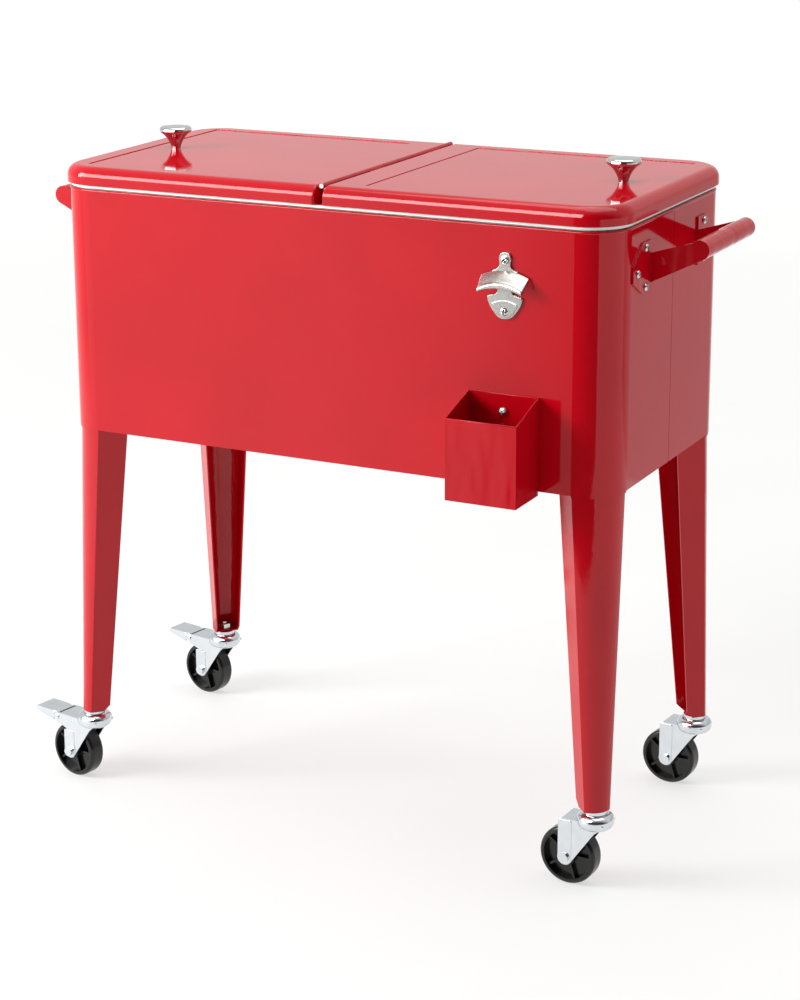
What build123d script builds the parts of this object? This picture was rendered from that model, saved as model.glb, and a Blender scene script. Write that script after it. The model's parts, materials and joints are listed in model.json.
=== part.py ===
from build123d import *
import os
from math import asin, cos, radians, sin, sqrt

# Patio cooler cart. Millimetres, +Z up, +X along the front from left to right, +Y to the back.
# The origin is on the floor under the middle of the box.

# Box
body_length = 788.0
body_depth = 384.0
body_height = 324.5
corner_radius = 52.0
shell_sheet = 1.2
top_fold = 20.0
bottom_fold = 18.0
seam_gap = 1.0
seam_strip_width = 30.0
wall_insulation = 22.0
floor_insulation = 22.0
liner_wall = 2.0
liner_flange = 2.2
flange_recess = 7.0
trim_height = 3.0
trim_recess = 1.0
trim_width = 16.0
fit_gap = 0.3

# Lids
lid_overhang = 3.8
lid_gap = 1.3
lid_height = 23.0
lid_sheet = 1.2
lid_edge_radius = 15.0
lid_inner_edge_radius = 3.0
lid_split = 11.0
panel_depth = 0.8
panel_end_margin = 34.0
panel_side_margin = 28.0
panel_hinge_margin = 45.0
pan_wall = 2.0
dish_depth = 10.0
dish_clearance = 6.0
dish_radius = 22.0
gasket_width = 7.0
gasket_inset = 4.0

# Hinge
barrel_diameter = 7.0
hinge_pin_diameter = 4.0
pin_head_diameter = 6.0
pin_head_height = 1.0
hinge_axis_drop = 1.0
knuckle_pairs = 2
knuckle_gap = 0.4
barrel_end_inset = 12.0
leaf_sheet = 1.5
leaf_height = 16.0
leaf_tab_height = 3.0
bridge_sheet = 2.0
bridge_plate_width = 30.0
bridge_channel_width = 20.0
bridge_channel_depth = 18.0
bridge_end_clearance = 2.0
web_end_inset = 13.0
bridge_screw_inset = 3.0
bridge_screw_head = 6.3
bridge_screw_head_height = 1.6
running_gap = 0.05

# Knobs
knob_end_margin = 68.0
knob_diameter = 44.0
knob_height = 30.8
knob_base_diameter = 12.5
knob_crown = 1.5
knob_flare_diameter = 20.0
knob_flare_height = 10.5
knob_under_diameter = 38.0
knob_under_height = 21.0
knob_rim_height = 25.2
knob_top_diameter = 39.0
knob_screw_depth = 14.0

# Fasteners
small_screw = 4.8
small_head = 9.5
small_head_height = 3.2
rivet_nut_diameter = 8.0
rivet_nut_length = 9.0
leg_bolt = 6.0
leg_bolt_head = 12.0
leg_bolt_head_height = 4.0
hole_gap = 0.25
rivet_diameter = 4.0
rivet_head = 7.5
rivet_head_height = 2.6
rivet_pitch = 165.0
rivet_end_offset = 60.0

# Handles
handle_sheet = 2.5
handle_centre_drop = 55.0
handle_half_span = 83.0
handle_plate_reach = 56.0
handle_plate_height = 62.0
handle_plate_top_run = 25.0
handle_plate_end_height = 20.0
handle_arm_base = 37.0
handle_arm_drop = 4.5
handle_tip_drop = 3.5
handle_reach = 76.0
handle_rise = 30.5
grip_height = 20.0
grip_top_setback = 22.0
grip_bottom_setback = 9.0
handle_screw_near = 17.0
handle_screw_far = 43.0
handle_screw_rise = 24.0

# Bottle opener
opener_end_margin = 140.0
opener_drop = 72.5
opener_width = 64.0
opener_height = 82.0
opener_plate = 3.0
opener_depth = 22.0
opener_lip = 4.5
opener_screw_spacing = 63.5
opener_tab_width = 18.0
opener_tongue_width = 50.0
opener_tongue_bend = 32.0
opener_tongue_bend_height = 12.0
opener_hood_top = 20.0
opener_hood_bottom = -4.0
opener_arch_width = 54.0
opener_arch_rise = 7.0
opener_tooth_width = 16.0
opener_tooth_depth = 5.0
opener_tooth_height = 4.0
opener_tooth_drop = 9.0
opener_wing_height = 17.0
opener_hood_thickness = 9.0

# Cap catcher
catcher_end_margin = 141.5
catcher_width = 94.0
catcher_depth = 67.0
catcher_height = 123.0
catcher_front_height = 103.0
catcher_sheet = 1.2
catcher_below_box = 5.0
catcher_wall_gap = 0.3
keyhole_drop = 22.0
keyhole_lift = 11.0

# Legs
leg_length = 408.5
leg_sheet = 1.8
leg_plate = 2.5
leg_ledge = 1.5
leg_top_inset = 2.0
leg_flange_top = 40.0
leg_nose_bottom = 24.5
leg_flange_bottom = 26.0
leg_foot_chamfer = 8.0
leg_bolt_nose = 26.0
leg_bolt_back = 6.0
leg_bolt_side = 20.0
stem_inset_x = 18.0
stem_inset_y = 15.0
stem_from_nose_centre = 8.0
stem_beyond_foot = 2.0

# Casters
wheel_diameter = 77.0
wheel_clearance = 4.5
wheel_width = 24.0
wheel_round = 5.0
wheel_rim = 6.5
wheel_web = 7.0
hub_diameter = 24.0
hub_width = 29.0
spoke_count = 5
spoke_width = 3.0
spoke_face_step = 3.0
axle_diameter = 8.0
axle_head = 13.0
axle_head_height = 4.5
fork_sheet = 2.5
fork_side_gap = 0.6
trail = 34.0
race_diameter = 48.0
race_height = 20.0
race_drop = 5.0
race_round = 9.0
cup_diameter = 30.0
cup_gap = 0.4
king_pin = 11.0
king_head = 18.0
king_head_height = 3.0
stem_diameter = 10.0
stem_nut_flats = 17.0
stem_nut_height = 8.0
stem_above_nut = 3.0
cheek_end_radius = 10.0
cheek_tail = 5.0
cheek_front_angle = 40.0
fork_front_low = 6.0
fork_front_high = 19.0
fork_front_drop = 3.0
fork_plate_drop = 10.0
swivel_left = 11.0
swivel_right = 4.0

# Brakes on the two left casters
pedal_reach = 98.0
pedal_width = 33.0
pedal_sheet = 2.5
pedal_rise = 7.0
pedal_tip_depth = 6.0
pedal_root_depth = 14.0
pedal_pivot_back = 24.0
pedal_pivot_drop = 22.0
pedal_ear = 6.5
shoe_drop = 12.0
shoe_thickness = 6.0
shoe_offset = 1.0
brake_pin = 5.0
brake_pin_head = 8.0
brake_pin_head_height = 1.5

# Drain
drain_x = -230.0
drain_bore = 18.0
drain_wall = 2.5
drain_flange = 36.0
drain_flange_height = 2.0
drain_drop = 14.0
drain_nut_diameter = 36.0
drain_nut_height = 7.0
plug_length = 16.0
plug_head = 30.0
plug_head_height = 6.0

# Levels and places worked out from the sizes above
caster_height = wheel_diameter + wheel_clearance + race_height + race_drop
body_bottom = caster_height + leg_length
shell_top = body_bottom + body_height
trim_bottom = shell_top + liner_flange
trim_top = trim_bottom + trim_height
lid_bottom = trim_top + lid_gap
lid_top = lid_bottom + lid_height
hinge_z = lid_top - hinge_axis_drop
panel_floor_top = body_bottom + 2 * shell_sheet
liner_bottom = panel_floor_top + floor_insulation
liner_floor = liner_bottom + liner_wall
end_x = body_length / 2
side_y = body_depth / 2
liner_inset = shell_sheet + wall_insulation
liner_inner_inset = liner_inset + liner_wall
lid_half_split = lid_split / 2
bridge_plate_sheet = lid_gap - fit_gap
barrel_half = side_y + lid_overhang - barrel_end_inset
opener_x = end_x - opener_end_margin
catcher_x = end_x - catcher_end_margin
handle_z = shell_top - handle_centre_drop
opener_z = shell_top - opener_drop
catcher_bottom = body_bottom - catcher_below_box
catcher_screw_z = catcher_bottom + catcher_height - keyhole_drop
stem_x = end_x - stem_inset_x
stem_y = side_y - stem_inset_y
screw_radius = small_screw / 2
knob_x = end_x - knob_end_margin
panel_top = lid_top - panel_depth
nose_half_angle = radians(45.0)

corners = {"front_left": (-1, -1), "front_right": (1, -1), "rear_left": (-1, 1), "rear_right": (1, 1)}
parts = {}


def prism(sketch, low, high):
    return extrude(Plane.XY.offset(low) * sketch, high - low)


def slab_xz(sketch, low, high):
    return extrude(Plane.XZ.offset(-high) * sketch, high - low)


def slab_yz(sketch, low, high):
    return extrude(Plane.YZ.offset(low) * sketch, high - low)


def block(x, y, z):
    """A box from its low and high values along each axis."""
    middle = Pos((x[0] + x[1]) / 2, (y[0] + y[1]) / 2, (z[0] + z[1]) / 2)
    return middle * Box(x[1] - x[0], y[1] - y[0], z[1] - z[0])


def rod_z(radius, low, high, x=0.0, y=0.0):
    return Pos(x, y, (low + high) / 2) * Cylinder(radius, high - low)


def rod_y(radius, low, high, x=0.0, z=0.0):
    return Pos(x, (low + high) / 2, z) * Rot(90, 0, 0) * Cylinder(radius, high - low)


def rod_x(radius, low, high, y=0.0, z=0.0):
    return Pos((low + high) / 2, y, z) * Rot(0, 90, 0) * Cylinder(radius, high - low)


def outline(points):
    return make_face(Polyline(*points, close=True))


def plan(inset, grow=0.0):
    """The box's rounded plan, drawn in by inset and let out by grow."""
    change = grow - inset
    return RectangleRounded(body_length + 2 * change, body_depth + 2 * change, corner_radius + change)


def turned(profile):
    """A solid turned about Z from a profile of radius and height."""
    return revolve(Plane.XZ * profile, Axis.Z)


def flip_x(shape):
    return mirror(shape, about=Plane.YZ)


def flip_y(shape):
    return mirror(shape, about=Plane.XZ)


def into_corner(shape, corner):
    """Mirror a piece made for the rear right corner into the named one."""
    side, depth = corners[corner]
    placed = shape if side > 0 else flip_x(shape)
    return placed if depth > 0 else flip_y(placed)


def crown(radius, foot, rise):
    """The arc of a round cap, from its rim up to the axis."""
    ball = (radius ** 2 + rise ** 2) / (2 * rise)
    lean = asin(min(radius / ball, 1.0)) / 2
    middle = (ball * sin(lean), foot + rise - ball + ball * cos(lean))
    return ThreePointArc((radius, foot), middle, (0, foot + rise))


def screw(head, head_height, shank, grip, nut, nut_length):
    """A dome-headed screw along -Z from its seat at z = 0, with the captive nut behind the sheet."""
    half = head / 2
    profile = [Line((0, 0), (half, 0)), crown(half, 0, head_height), Line((0, head_height), (0, 0))]
    dome = turned(make_face(profile))
    return dome + rod_z(shank / 2, -grip - nut_length, 0) + rod_z(nut / 2, -grip - nut_length, -grip)


def body_screw(sheets):
    return screw(small_head, small_head_height, small_screw, sheets + shell_sheet, rivet_nut_diameter,
                 rivet_nut_length)


def handle_screw_spots():
    near = handle_half_span + handle_screw_near
    far = handle_half_span + handle_screw_far
    spots = []
    for side in (-1, 1):
        spots += [(side * near, handle_screw_rise), (side * near, -handle_screw_rise)]
        spots.append((side * far, -handle_tip_drop))
    return [(y, handle_z + z) for y, z in spots]


def opener_screw_spots():
    half = opener_screw_spacing / 2
    return [(opener_x, opener_z + half), (opener_x, opener_z - half)]


def leg_frame(z):
    """The leg's plane at a height: its x runs out along the corner's diagonal from the corner's centre."""
    return Plane(origin=(end_x - corner_radius, side_y - corner_radius, z), x_dir=(1, 1, 0), z_dir=(0, 0, 1))


def leg_bolt_spots():
    """Bolt places on the underside at the rear right corner."""
    frame = leg_frame(body_bottom)
    local = [(leg_bolt_nose, 0), (leg_bolt_back, leg_bolt_side), (leg_bolt_back, -leg_bolt_side)]
    return [frame.from_local_coords(Vector(p, q, 0)) for p, q in local]


def all_leg_bolt_spots():
    return [(s * spot.X, d * spot.Y) for s, d in corners.values() for spot in leg_bolt_spots()]


def bridge_screw_spots():
    y = barrel_half - bridge_screw_inset
    return [-y, y]


def rivet_spots():
    """Rivets that hold the bottom panel to the shells' lower folds, along the long sides and the ends."""
    edge = bottom_fold / 2
    spots = [(i * rivet_pitch, d * (side_y - edge)) for i in (-1, 0, 1) for d in (-1, 1)]
    return spots + [(s * (end_x - edge), d * rivet_end_offset) for s in (-1, 1) for d in (-1, 1)]


def wall_screw_holes(radius, depth):
    """Rods along every screw that goes through the box's walls, to cut the sheet or the foam."""
    rods = []
    for y, z in handle_screw_spots():
        rods += [rod_x(radius, end_x - depth, end_x, y, z), rod_x(radius, -end_x, depth - end_x, y, z)]
    for x, z in opener_screw_spots() + [(catcher_x, catcher_screw_z)]:
        rods.append(rod_y(radius, -side_y, depth - side_y, x, z))
    return rods


def make_shells():
    walls = prism(plan(0), body_bottom, shell_top)
    walls -= prism(plan(shell_sheet), body_bottom + shell_sheet, shell_top - shell_sheet)
    walls -= prism(plan(top_fold), shell_top - shell_sheet, shell_top)
    walls -= prism(plan(bottom_fold), body_bottom, body_bottom + shell_sheet)
    for hole in wall_screw_holes(screw_radius + hole_gap, shell_sheet):
        walls -= hole
    for y in bridge_screw_spots():
        walls -= rod_z(screw_radius + hole_gap, shell_top - shell_sheet, shell_top, 0, y)
    for x, y in rivet_spots():
        walls -= rod_z(rivet_diameter / 2 + hole_gap, body_bottom, body_bottom + shell_sheet, x, y)
    reach = side_y + seam_gap
    front = block((-end_x, end_x), (-reach, -seam_gap / 2), (body_bottom, shell_top))
    parts["front_shell"] = walls & front
    parts["rear_shell"] = walls & flip_y(front)
    half = seam_strip_width / 2
    strip = block((end_x - 2 * shell_sheet, end_x - shell_sheet), (-half, half),
                  (body_bottom + 2 * shell_sheet, shell_top - shell_sheet))
    parts["seam_strips"] = Compound(children=[strip, flip_x(strip)])


def make_bottom_panel():
    panel = prism(plan(shell_sheet + fit_gap), body_bottom + shell_sheet, panel_floor_top)
    for x, y in rivet_spots():
        panel -= rod_z(rivet_diameter / 2 + hole_gap, body_bottom, panel_floor_top, x, y)
    for x, y in all_leg_bolt_spots():
        panel -= rod_z(leg_bolt / 2 + hole_gap, body_bottom, panel_floor_top, x, y)
    panel -= rod_z(drain_bore / 2 + drain_wall + hole_gap, body_bottom, panel_floor_top, drain_x)
    parts["bottom_panel"] = panel


def make_panel_rivets():
    one = Rot(180, 0, 0) * screw(rivet_head, rivet_head_height, rivet_diameter, 2 * shell_sheet, rivet_head,
                                 rivet_head_height)
    parts["panel_rivets"] = Compound(children=[Pos(x, y, body_bottom) * one for x, y in rivet_spots()])


def ring_pieces(ring, low, high):
    """A band that follows the box's plan, as four straight panels and four corner strips."""
    along = end_x - corner_radius
    across = side_y - corner_radius
    side = ring & block((-along, along), (0, side_y), (low, high))
    end = ring & block((0, end_x), (-across, across), (low, high))
    corner = ring & block((along, end_x), (across, side_y), (low, high))
    return [side, flip_y(side), end, flip_x(end)] + [into_corner(corner, name) for name in corners]


def make_liner():
    """The tub, welded up from a floor, wall panels, corner strips and a rim flange, and the rim's edging."""
    floor = prism(plan(liner_inset), liner_bottom, liner_floor)
    floor -= rod_z(drain_bore / 2 + drain_wall + hole_gap, liner_bottom, liner_floor, drain_x)
    wall = prism(plan(liner_inset), liner_floor, shell_top)
    wall -= prism(plan(liner_inner_inset), liner_floor, shell_top)
    flange = prism(plan(flange_recess), shell_top, trim_bottom)
    flange -= prism(plan(liner_inner_inset), shell_top, trim_bottom)
    trim = prism(plan(trim_recess), trim_bottom, trim_top)
    trim -= prism(plan(trim_recess + trim_width), trim_bottom, trim_top)
    for y in bridge_screw_spots():
        hole = rod_z(screw_radius + hole_gap, shell_top, trim_top, 0, y)
        flange -= hole
        trim -= hole
    panels = ring_pieces(wall, liner_floor, shell_top) + ring_pieces(flange, shell_top, trim_bottom)
    parts["inner_liner"] = Compound(children=[floor] + panels)
    parts["rim_trim"] = trim


def make_insulation():
    foam = prism(plan(2 * shell_sheet + fit_gap), panel_floor_top, shell_top - shell_sheet)
    foam -= prism(plan(liner_inset - fit_gap), liner_bottom, shell_top)
    pocket = rivet_nut_diameter / 2 + fit_gap
    for hole in wall_screw_holes(pocket, shell_sheet + rivet_nut_length + handle_sheet + fit_gap):
        foam -= hole
    for x, y in all_leg_bolt_spots():
        foam -= rod_z(pocket, panel_floor_top, panel_floor_top + rivet_nut_length + fit_gap, x, y)
    rivet_top = panel_floor_top + rivet_head_height + fit_gap
    for x, y in rivet_spots():
        foam -= rod_z(rivet_head / 2 + fit_gap, panel_floor_top, rivet_top, x, y)
    for y in bridge_screw_spots():
        foam -= rod_z(pocket, shell_top - shell_sheet - rivet_nut_length - fit_gap, shell_top, 0, y)
    foam -= rod_z(drain_bore / 2 + drain_wall + hole_gap, panel_floor_top, liner_bottom, drain_x)
    parts["insulation"] = foam


def lid_solid(inset):
    """The right lid as a full solid, drawn in by inset on the top and sides, open level below."""
    whole = prism(plan(inset, lid_overhang), lid_bottom, lid_top - inset)
    whole = fillet(whole.faces().sort_by(Axis.Z)[-1].edges(), lid_edge_radius - inset)
    start = lid_half_split + inset
    reach = end_x + lid_overhang
    half = whole & block((start, reach), (-reach, reach), (lid_bottom, lid_top))
    inner_face = half.faces().sort_by(Axis.X)[0]
    rounded = [e for e in inner_face.edges() if e.center().Z > lid_top - lid_edge_radius]
    return fillet(rounded, lid_inner_edge_radius - inset)


def lid_panel(grow, low, high):
    """The pressed panel in the right lid's top, let out by grow."""
    x = (lid_half_split + panel_hinge_margin - grow, end_x - panel_end_margin + grow)
    y = side_y - panel_side_margin + grow
    return block(x, (-y, y), (low, high))


def dish(inset, low):
    """The lowered middle of the lid's inner pan, which reaches into the tub."""
    inner = bridge_channel_width / 2 + dish_clearance + inset
    outer = end_x - liner_inner_inset - dish_clearance - inset
    half = side_y - liner_inner_inset - dish_clearance - inset
    sketch = Pos((inner + outer) / 2, 0) * RectangleRounded(outer - inner, 2 * half, dish_radius - inset)
    return prism(sketch, low, lid_bottom + pan_wall)


def make_lid(side):
    hole = rod_z(screw_radius + hole_gap, lid_bottom, lid_top, knob_x)
    skin = lid_solid(0) - lid_panel(0, panel_top, lid_top)
    skin -= lid_solid(lid_sheet) - lid_panel(lid_sheet, panel_top - lid_sheet, lid_top)
    skin -= hole

    pan_top = lid_bottom + pan_wall
    seat = block((lid_half_split, end_x + lid_overhang), (-end_x, end_x), (lid_bottom, pan_top))
    pan = (lid_solid(lid_sheet + fit_gap) & seat) + dish(0, lid_bottom - dish_depth)
    pan -= dish(pan_wall, lid_bottom - dish_depth + pan_wall)

    foam = lid_solid(lid_sheet + fit_gap) - seat
    foam -= lid_panel(lid_sheet + fit_gap, panel_top - lid_sheet - fit_gap, lid_top)
    foam += dish(pan_wall + fit_gap, lid_bottom - dish_depth + pan_wall + fit_gap)
    head_space = panel_top - lid_sheet - small_head_height - fit_gap
    foam -= rod_z(small_head / 2 + fit_gap, head_space, lid_top, knob_x)

    gasket = prism(plan(gasket_inset), trim_top, lid_bottom)
    gasket -= prism(plan(gasket_inset + gasket_width), trim_top, lid_bottom)
    gasket &= block((bridge_plate_width / 2 + fit_gap, end_x), (-side_y, side_y), (trim_top, lid_bottom))

    turn = Pos(knob_x, 0, panel_top - lid_sheet) * Rot(180, 0, 0)
    knob_screw = turn * screw(small_head, small_head_height, small_screw, knob_screw_depth / 2, small_screw,
                              knob_screw_depth / 2)
    pieces = {"lid_skin": skin, "lid_pan": pan, "lid_foam": foam, "lid_gasket": gasket,
              "knob": make_knob(), "knob_screw": knob_screw}
    for name, piece in pieces.items():
        parts[f"{side}_{name}"] = piece if side == "right" else flip_x(piece)


def make_knob():
    """A knob that flares from a slim neck to a broad flat head, on the right lid's panel."""
    base = knob_base_diameter / 2
    flare = (knob_flare_diameter / 2, knob_flare_height)
    under = (knob_under_diameter / 2, knob_under_height)
    rim = (knob_diameter / 2, knob_rim_height)
    top = (knob_top_diameter / 2, knob_height - knob_crown)
    profile = make_face([
        Line((0, 0), (base, 0)),
        ThreePointArc((base, 0), flare, under),
        ThreePointArc(under, rim, top),
        crown(top[0], top[1], knob_crown),
        Line((0, knob_height), (0, 0)),
    ])
    knob = turned(profile) - rod_z(screw_radius + running_gap, 0, knob_screw_depth)
    return Pos(knob_x, 0, panel_top) * knob


def knuckles():
    """Places of the barrel's knuckles along Y, with the piece that carries each."""
    owners = ["bridge", "left", "bridge", "right"] * knuckle_pairs + ["bridge"]
    pitch = 2 * barrel_half / len(owners)
    gap = knuckle_gap / 2
    return [(owner, -barrel_half + i * pitch + gap, -barrel_half + (i + 1) * pitch - gap)
            for i, owner in enumerate(owners)]


def make_hinge():
    barrel = barrel_diameter / 2
    bore = hinge_pin_diameter / 2 + running_gap
    plate_top = trim_top + bridge_plate_sheet
    half = bridge_plate_width / 2
    plate_end = side_y - gasket_inset
    bridge = block((-half, half), (-plate_end, plate_end), (trim_top, plate_top))
    channel_end = side_y - liner_inner_inset - bridge_end_clearance
    wide = bridge_channel_width / 2
    low = trim_top - bridge_channel_depth
    bridge += block((-wide, wide), (-channel_end, channel_end), (low, trim_top))
    bridge -= block((bridge_sheet - wide, wide - bridge_sheet), (-channel_end, channel_end),
                    (low, trim_top - bridge_sheet))
    web = bridge_sheet / 2
    web_end = barrel_half - web_end_inset
    bridge += block((-web, web), (-web_end, web_end), (plate_top, hinge_z - barrel - knuckle_gap))
    leaf_end = barrel_half - knuckle_gap / 2
    leaf_low = hinge_z - leaf_height
    inner = lid_half_split - leaf_sheet
    leaf = block((inner, lid_half_split), (-leaf_end, leaf_end), (leaf_low, hinge_z - leaf_tab_height / 2))
    leaves = {"left": flip_x(leaf), "right": leaf}
    for owner, start, stop in knuckles():
        ring = rod_y(barrel, start, stop, 0, hinge_z)
        if owner == "bridge":
            foot = (max(start, -web_end), min(stop, web_end))
            bridge += ring + block((-web, web), foot, (plate_top, hinge_z))
        else:
            tab = block((0, lid_half_split), (start, stop), (hinge_z - leaf_tab_height, hinge_z))
            leaves[owner] += ring + (tab if owner == "right" else flip_x(tab))
    bore_rod = rod_y(bore, -barrel_half, barrel_half, 0, hinge_z)
    bridge -= bore_rod
    for y in bridge_screw_spots():
        bridge -= rod_z(screw_radius + hole_gap, low, plate_top, 0, y)
    parts["hinge_bridge"] = bridge
    for side in leaves:
        parts[f"{side}_hinge_leaf"] = leaves[side] - bore_rod
    pin = rod_y(hinge_pin_diameter / 2, -barrel_half, barrel_half, 0, hinge_z)
    head = rod_y(pin_head_diameter / 2, barrel_half, barrel_half + pin_head_height, 0, hinge_z)
    parts["hinge_pin"] = pin + head + flip_y(head)
    grip = bridge_plate_sheet + trim_height + liner_flange + shell_sheet
    one = screw(bridge_screw_head, bridge_screw_head_height, small_screw, grip, rivet_nut_diameter,
                rivet_nut_length)
    parts["bridge_screws"] = Compound(children=[Pos(0, y, plate_top) * one for y in bridge_screw_spots()])


def make_handle():
    """The right handle: two end plates, two arms and a rolled grip, bent from one strap."""
    low = handle_z - handle_plate_height / 2
    high = handle_z + handle_plate_height / 2
    half = handle_half_span
    run = half + handle_plate_top_run
    tip = half + handle_plate_reach
    tip_z = handle_z - handle_tip_drop
    tip_half = handle_plate_end_height / 2
    plate = slab_yz(outline([(half - handle_sheet, low), (run, low), (tip, tip_z - tip_half),
                             (tip, tip_z + tip_half), (run, high), (half - handle_sheet, high)]),
                    end_x, end_x + handle_sheet)
    for y, z in handle_screw_spots():
        plate -= rod_x(screw_radius + hole_gap, end_x, end_x + handle_sheet, y, z)
    tip_x = end_x + handle_reach
    base = handle_arm_base / 2
    grip_mid = handle_z + handle_rise - grip_height / 2
    top = (tip_x - grip_top_setback, grip_mid + grip_height / 2)
    nose = (tip_x, grip_mid)
    bottom = (tip_x - grip_bottom_setback, grip_mid - grip_height / 2)
    root_z = handle_z - handle_arm_drop
    root = [(end_x, root_z - base), (end_x, root_z + base)]
    side_face = make_face([Polyline(bottom, *root, top), ThreePointArc(top, nose, bottom)])
    arm = slab_xz(side_face, half - handle_sheet, half)
    inner_top = (top[0], top[1] - handle_sheet)
    inner_bottom = (bottom[0] - handle_sheet, bottom[1])
    strip = make_face([ThreePointArc(top, nose, bottom), Line(bottom, inner_bottom),
                       ThreePointArc(inner_bottom, (nose[0] - handle_sheet, nose[1]), inner_top),
                       Line(inner_top, top)])
    grip = slab_xz(strip, -half, half)
    return plate + arm + grip + flip_y(plate + arm)


def make_handles():
    handle = make_handle()
    parts["right_handle"] = handle
    parts["left_handle"] = flip_x(handle)
    one = Rot(0, 90, 0) * body_screw(handle_sheet)
    screws = [Pos(end_x + handle_sheet, y, z) * one for y, z in handle_screw_spots()]
    parts["handle_screws"] = Compound(children=screws + [flip_x(s) for s in screws])


def make_opener():
    """A cast opener: back plate with a tab and a round tongue, a sloping hood with an arched lip, a tooth."""
    half_height = opener_height / 2
    tab = opener_tab_width / 2
    tongue = opener_tongue_width / 2
    bend = opener_tongue_bend / 2
    bend_z = opener_tongue_bend_height - half_height
    spread = opener_hood_bottom
    shield = make_face([
        Polyline((-bend, bend_z), (-tongue, spread), (-tab, opener_hood_top), (-tab, half_height - tab),
                 (tab, half_height - tab), (tab, opener_hood_top), (tongue, spread), (bend, bend_z)),
        ThreePointArc((bend, bend_z), (0, -half_height), (-bend, bend_z)),
    ])
    plate = slab_xz(shield, -opener_plate, 0)
    plate += rod_y(tab, -opener_plate, 0, 0, half_height - tab)
    wing = opener_width / 2
    shoulder = spread + opener_wing_height
    front = slab_xz(outline([(-tab, opener_hood_top), (-wing, shoulder), (-wing, spread), (wing, spread),
                             (wing, shoulder), (tab, opener_hood_top)]), -opener_depth, 0)
    lip = opener_lip - opener_depth
    side = slab_yz(outline([(0, opener_hood_top), (-opener_plate, opener_hood_top),
                            (-opener_depth, spread + opener_lip), (-opener_depth, spread), (lip, spread),
                            (0, opener_hood_top - opener_hood_thickness)]), -wing, wing)
    arch_half = opener_arch_width / 2
    ends = [(-arch_half, spread), (arch_half, spread)]
    arch = make_face([Line(*ends), ThreePointArc(ends[1], (0, spread + opener_arch_rise), ends[0])])
    hood = (front & side) - slab_xz(arch, -opener_depth, -opener_plate)
    tooth_top = spread - opener_tooth_drop
    tooth = block((-opener_tooth_width / 2, opener_tooth_width / 2), (-opener_plate - opener_tooth_depth, 0),
                  (tooth_top - opener_tooth_height, tooth_top))
    opener = Pos(opener_x, -side_y, opener_z) * (plate + hood + tooth)
    for x, z in opener_screw_spots():
        opener -= rod_y(screw_radius + hole_gap, -side_y - opener_plate, -side_y, x, z)
    parts["bottle_opener"] = opener


def make_catcher():
    """An open sheet box with a sloping mouth, hung on its screw by a keyhole."""
    back = -side_y - catcher_wall_gap
    front = back - catcher_depth
    half = catcher_width / 2
    sheet = catcher_sheet
    top = catcher_bottom + catcher_height
    front_top = catcher_bottom + catcher_front_height
    sides = (catcher_x - half, catcher_x + half)
    profile = outline([(back, catcher_bottom), (back, top), (front, front_top), (front, catcher_bottom)])
    box = slab_yz(profile, *sides)
    box -= block((sides[0] + sheet, sides[1] - sheet), (front + sheet, back - sheet),
                 (catcher_bottom + sheet, top))
    slot = screw_radius + hole_gap
    wide = small_head / 2 + fit_gap
    drop = catcher_screw_z - keyhole_lift
    box -= rod_y(slot, back - sheet, back, catcher_x, catcher_screw_z)
    box -= block((catcher_x - slot, catcher_x + slot), (back - sheet, back), (drop, catcher_screw_z))
    box -= rod_y(wide, back - sheet, back, catcher_x, drop)
    parts["cap_catcher"] = box


def make_front_screws():
    """The opener's two screws and the one that the cap catcher hangs on."""
    opener_screw = Pos(0, -side_y - opener_plate, 0) * Rot(90, 0, 0) * body_screw(opener_plate)
    screws = [Pos(x, 0, z) * opener_screw for x, z in opener_screw_spots()]
    seat = catcher_wall_gap + catcher_sheet + fit_gap
    screws.append(Pos(catcher_x, -side_y - seat, catcher_screw_z) * Rot(90, 0, 0) * body_screw(seat))
    parts["front_screws"] = Compound(children=screws)


def leg_section(z, centre, nose, flange, inset, overrun):
    """A channel's outline: a quarter-round nose and two side walls, in the leg's plane at a height."""
    half = nose * sin(nose_half_angle) - inset
    radius = nose - inset
    crease = centre[0] + sqrt(radius ** 2 - half ** 2)
    back = centre[0] + nose * cos(nose_half_angle) - flange - overrun
    q = centre[1]
    sketch = make_face([
        ThreePointArc((crease, q - half), (centre[0] + radius, q), (crease, q + half)),
        Polyline((crease, q + half), (back, q + half), (back, q - half), (crease, q - half)),
    ])
    return leg_frame(z) * sketch


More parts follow.
